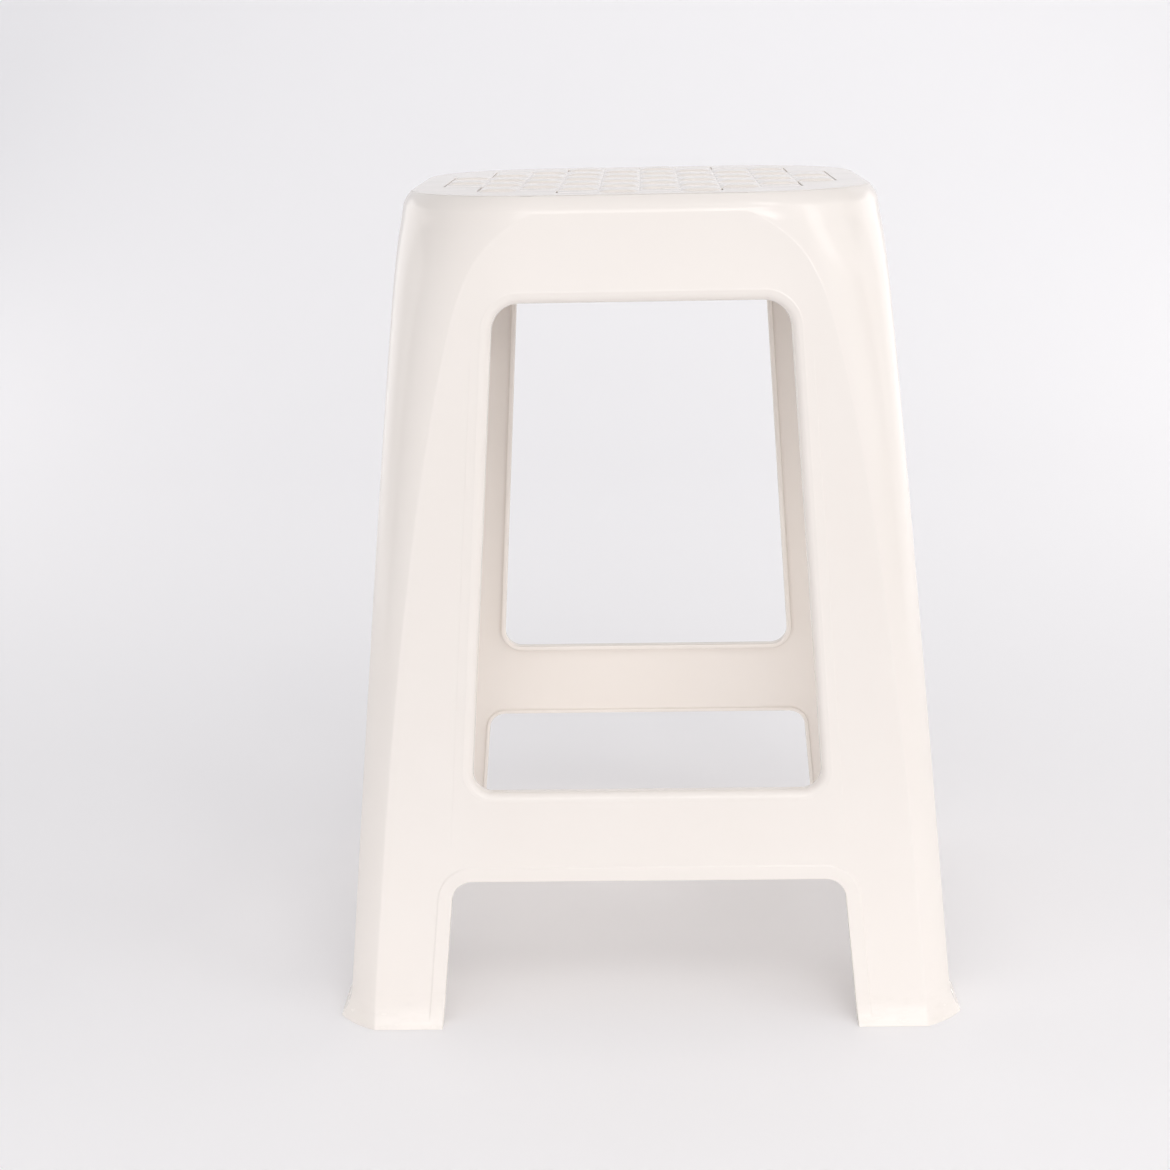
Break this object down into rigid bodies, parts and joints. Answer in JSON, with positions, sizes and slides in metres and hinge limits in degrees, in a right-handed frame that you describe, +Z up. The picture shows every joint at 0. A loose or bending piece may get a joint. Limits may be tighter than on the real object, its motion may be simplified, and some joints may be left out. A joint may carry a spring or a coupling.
{
  "type": "stacking stool",
  "caption": "Backless one-piece plastic stacking stool with a woven-pattern square seat, tapering sides with open windows, low cross rails and flared feet.",
  "frame": {"origin": "on the floor under the middle of the seat", "axes": "+X right seen from the front, +Y to the rear, +Z up; the front faces -Y"},
  "size_m": [0.3492, 0.3492, 0.4543],
  "materials": {
    "moulded_polypropylene": "glossy cream, one colour all through"
  },
  "bodies": {
    "root": {"seat_plate": "moulded_polypropylene", "seat_border": "moulded_polypropylene", "seat_weave": "moulded_polypropylene", "apron_front": "moulded_polypropylene", "apron_right": "moulded_polypropylene", "apron_rear": "moulded_polypropylene", "apron_left": "moulded_polypropylene", "shoulder_front_right": "moulded_polypropylene", "shoulder_rear_right": "moulded_polypropylene", "shoulder_rear_left": "moulded_polypropylene", "shoulder_front_left": "moulded_polypropylene", "leg_front_right": "moulded_polypropylene", "leg_rear_right": "moulded_polypropylene", "leg_rear_left": "moulded_polypropylene", "leg_front_left": "moulded_polypropylene", "foot_front_right": "moulded_polypropylene", "foot_rear_right": "moulded_polypropylene", "foot_rear_left": "moulded_polypropylene", "foot_front_left": "moulded_polypropylene", "rail_front": "moulded_polypropylene", "rail_right": "moulded_polypropylene", "rail_rear": "moulded_polypropylene", "rail_left": "moulded_polypropylene", "rib_long_front": "moulded_polypropylene", "rib_long_rear": "moulded_polypropylene", "rib_short_left_front": "moulded_polypropylene", "rib_short_left_middle": "moulded_polypropylene", "rib_short_left_rear": "moulded_polypropylene", "rib_short_right_front": "moulded_polypropylene", "rib_short_right_middle": "moulded_polypropylene", "rib_short_right_rear": "moulded_polypropylene"}
  },
  "joints": []
}
